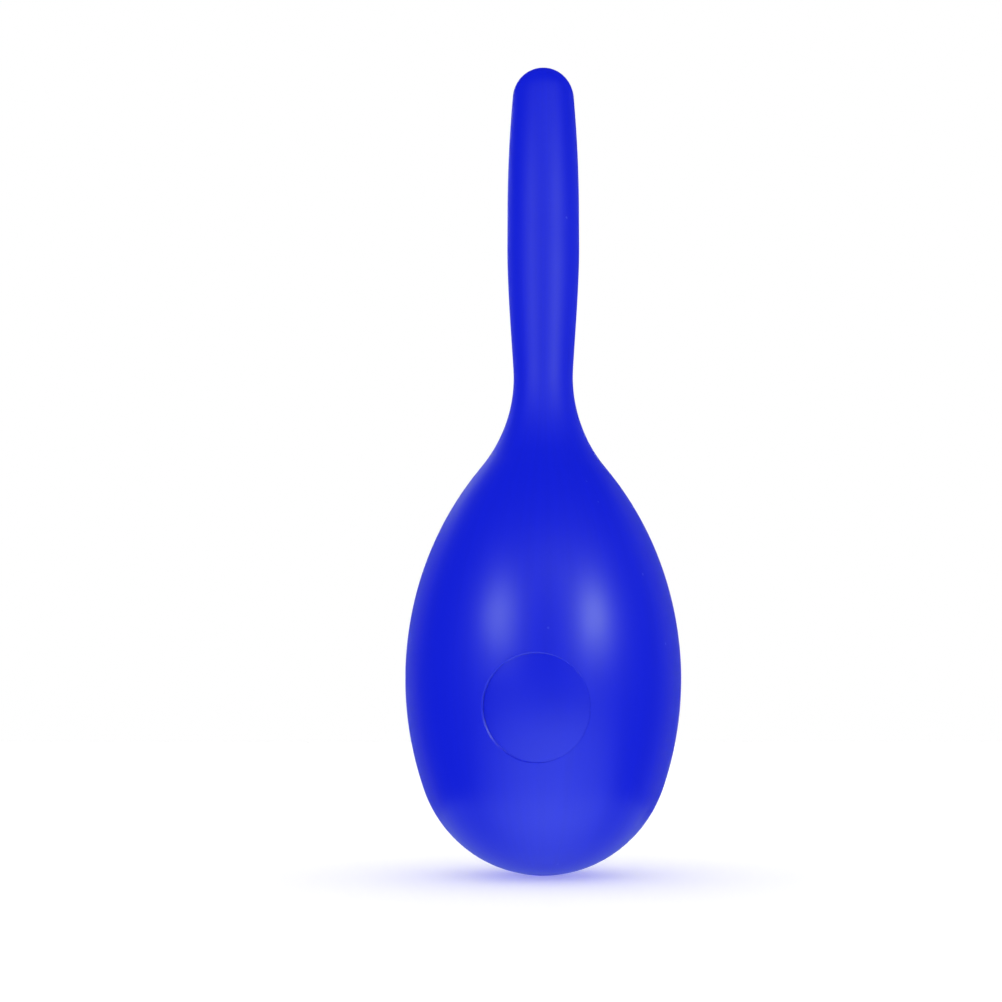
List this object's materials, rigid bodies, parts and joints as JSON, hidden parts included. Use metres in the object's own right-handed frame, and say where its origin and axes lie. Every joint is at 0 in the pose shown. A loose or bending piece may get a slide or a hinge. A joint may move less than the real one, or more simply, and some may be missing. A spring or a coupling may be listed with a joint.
{
  "type": "maraca",
  "caption": "Hand-held maraca: hollow egg-shaped head running into a round-ended handle, closed by a sunk round fill plug, with loose beads inside.",
  "frame": {"origin": "lowest point of the head, on the axis", "axes": "+Z along the axis from the head to the handle's end; -Y towards the side with the fill plug"},
  "size_m": [0.065, 0.0649, 0.2],
  "materials": {
    "shell": "satin blow-moulded polyolefin, royal blue",
    "plug": "satin injection-moulded polyolefin, the same blue",
    "beads": "plain steel shot"
  },
  "bodies": {
    "maraca": {"body_shell": "shell", "fill_plug": "plug"},
    "bead_01": {"bead_01": "beads"},
    "bead_02": {"bead_02": "beads"},
    "bead_03": {"bead_03": "beads"},
    "bead_04": {"bead_04": "beads"},
    "bead_05": {"bead_05": "beads"},
    "bead_06": {"bead_06": "beads"},
    "bead_07": {"bead_07": "beads"},
    "bead_08": {"bead_08": "beads"},
    "bead_09": {"bead_09": "beads"},
    "bead_10": {"bead_10": "beads"},
    "bead_11": {"bead_11": "beads"},
    "bead_12": {"bead_12": "beads"},
    "bead_13": {"bead_13": "beads"},
    "bead_14": {"bead_14": "beads"},
    "bead_15": {"bead_15": "beads"},
    "bead_16": {"bead_16": "beads"},
    "bead_17": {"bead_17": "beads"},
    "bead_18": {"bead_18": "beads"},
    "bead_19": {"bead_19": "beads"},
    "bead_20": {"bead_20": "beads"},
    "bead_21": {"bead_21": "beads"},
    "bead_22": {"bead_22": "beads"},
    "bead_23": {"bead_23": "beads"},
    "bead_24": {"bead_24": "beads"},
    "bead_25": {"bead_25": "beads"},
    "bead_26": {"bead_26": "beads"},
    "bead_27": {"bead_27": "beads"},
    "bead_28": {"bead_28": "beads"},
    "bead_29": {"bead_29": "beads"},
    "bead_30": {"bead_30": "beads"},
    "bead_31": {"bead_31": "beads"},
    "bead_32": {"bead_32": "beads"},
    "bead_33": {"bead_33": "beads"},
    "bead_34": {"bead_34": "beads"},
    "bead_35": {"bead_35": "beads"},
    "bead_36": {"bead_36": "beads"},
    "bead_37": {"bead_37": "beads"}
  },
  "joints": [
    {"name": "bead_01_throw", "type": "slide", "parent": "maraca", "child": "bead_01", "axis": [0, 0, 1], "range_m": [0, 0.1906]},
    {"name": "bead_02_throw", "type": "slide", "parent": "maraca", "child": "bead_02", "axis": [0, 0, 1], "range_m": [0, 0.0979]},
    {"name": "bead_03_throw", "type": "slide", "parent": "maraca", "child": "bead_03", "axis": [0, 0, 1], "range_m": [0, 0.0979]},
    {"name": "bead_04_throw", "type": "slide", "parent": "maraca", "child": "bead_04", "axis": [0, 0, 1], "range_m": [0, 0.0979]},
    {"name": "bead_05_throw", "type": "slide", "parent": "maraca", "child": "bead_05", "axis": [0, 0, 1], "range_m": [0, 0.0979]},
    {"name": "bead_06_throw", "type": "slide", "parent": "maraca", "child": "bead_06", "axis": [0, 0, 1], "range_m": [0, 0.0979]},
    {"name": "bead_07_throw", "type": "slide", "parent": "maraca", "child": "bead_07", "axis": [0, 0, 1], "range_m": [0, 0.0979]},
    {"name": "bead_08_throw", "type": "slide", "parent": "maraca", "child": "bead_08", "axis": [0, 0, 1], "range_m": [0, 0.0863]},
    {"name": "bead_09_throw", "type": "slide", "parent": "maraca", "child": "bead_09", "axis": [0, 0, 1], "range_m": [0, 0.089]},
    {"name": "bead_10_throw", "type": "slide", "parent": "maraca", "child": "bead_10", "axis": [0, 0, 1], "range_m": [0, 0.0863]},
    {"name": "bead_11_throw", "type": "slide", "parent": "maraca", "child": "bead_11", "axis": [0, 0, 1], "range_m": [0, 0.089]},
    {"name": "bead_12_throw", "type": "slide", "parent": "maraca", "child": "bead_12", "axis": [0, 0, 1], "range_m": [0, 0.0863]},
    {"name": "bead_13_throw", "type": "slide", "parent": "maraca", "child": "bead_13", "axis": [0, 0, 1], "range_m": [0, 0.089]},
    {"name": "bead_14_throw", "type": "slide", "parent": "maraca", "child": "bead_14", "axis": [0, 0, 1], "range_m": [0, 0.0863]},
    {"name": "bead_15_throw", "type": "slide", "parent": "maraca", "child": "bead_15", "axis": [0, 0, 1], "range_m": [0, 0.089]},
    {"name": "bead_16_throw", "type": "slide", "parent": "maraca", "child": "bead_16", "axis": [0, 0, 1], "range_m": [0, 0.0863]},
    {"name": "bead_17_throw", "type": "slide", "parent": "maraca", "child": "bead_17", "axis": [0, 0, 1], "range_m": [0, 0.089]},
    {"name": "bead_18_throw", "type": "slide", "parent": "maraca", "child": "bead_18", "axis": [0, 0, 1], "range_m": [0, 0.0863]},
    {"name": "bead_19_throw", "type": "slide", "parent": "maraca", "child": "bead_19", "axis": [0, 0, 1], "range_m": [0, 0.089]},
    {"name": "bead_20_throw", "type": "slide", "parent": "maraca", "child": "bead_20", "axis": [0, 0, 1], "range_m": [0, 0.0757]},
    {"name": "bead_21_throw", "type": "slide", "parent": "maraca", "child": "bead_21", "axis": [0, 0, 1], "range_m": [0, 0.0798]},
    {"name": "bead_22_throw", "type": "slide", "parent": "maraca", "child": "bead_22", "axis": [0, 0, 1], "range_m": [0, 0.0798]},
    {"name": "bead_23_throw", "type": "slide", "parent": "maraca", "child": "bead_23", "axis": [0, 0, 1], "range_m": [0, 0.0757]},
    {"name": "bead_24_throw", "type": "slide", "parent": "maraca", "child": "bead_24", "axis": [0, 0, 1], "range_m": [0, 0.0798]},
    {"name": "bead_25_throw", "type": "slide", "parent": "maraca", "child": "bead_25", "axis": [0, 0, 1], "range_m": [0, 0.0798]},
    {"name": "bead_26_throw", "type": "slide", "parent": "maraca", "child": "bead_26", "axis": [0, 0, 1], "range_m": [0, 0.0757]},
    {"name": "bead_27_throw", "type": "slide", "parent": "maraca", "child": "bead_27", "axis": [0, 0, 1], "range_m": [0, 0.0798]},
    {"name": "bead_28_throw", "type": "slide", "parent": "maraca", "child": "bead_28", "axis": [0, 0, 1], "range_m": [0, 0.0798]},
    {"name": "bead_29_throw", "type": "slide", "parent": "maraca", "child": "bead_29", "axis": [0, 0, 1], "range_m": [0, 0.0757]},
    {"name": "bead_30_throw", "type": "slide", "parent": "maraca", "child": "bead_30", "axis": [0, 0, 1], "range_m": [0, 0.0798]},
    {"name": "bead_31_throw", "type": "slide", "parent": "maraca", "child": "bead_31", "axis": [0, 0, 1], "range_m": [0, 0.0798]},
    {"name": "bead_32_throw", "type": "slide", "parent": "maraca", "child": "bead_32", "axis": [0, 0, 1], "range_m": [0, 0.0757]},
    {"name": "bead_33_throw", "type": "slide", "parent": "maraca", "child": "bead_33", "axis": [0, 0, 1], "range_m": [0, 0.0798]},
    {"name": "bead_34_throw", "type": "slide", "parent": "maraca", "child": "bead_34", "axis": [0, 0, 1], "range_m": [0, 0.0798]},
    {"name": "bead_35_throw", "type": "slide", "parent": "maraca", "child": "bead_35", "axis": [0, 0, 1], "range_m": [0, 0.0757]},
    {"name": "bead_36_throw", "type": "slide", "parent": "maraca", "child": "bead_36", "axis": [0, 0, 1], "range_m": [0, 0.0798]},
    {"name": "bead_37_throw", "type": "slide", "parent": "maraca", "child": "bead_37", "axis": [0, 0, 1], "range_m": [0, 0.0798]}
  ]
}
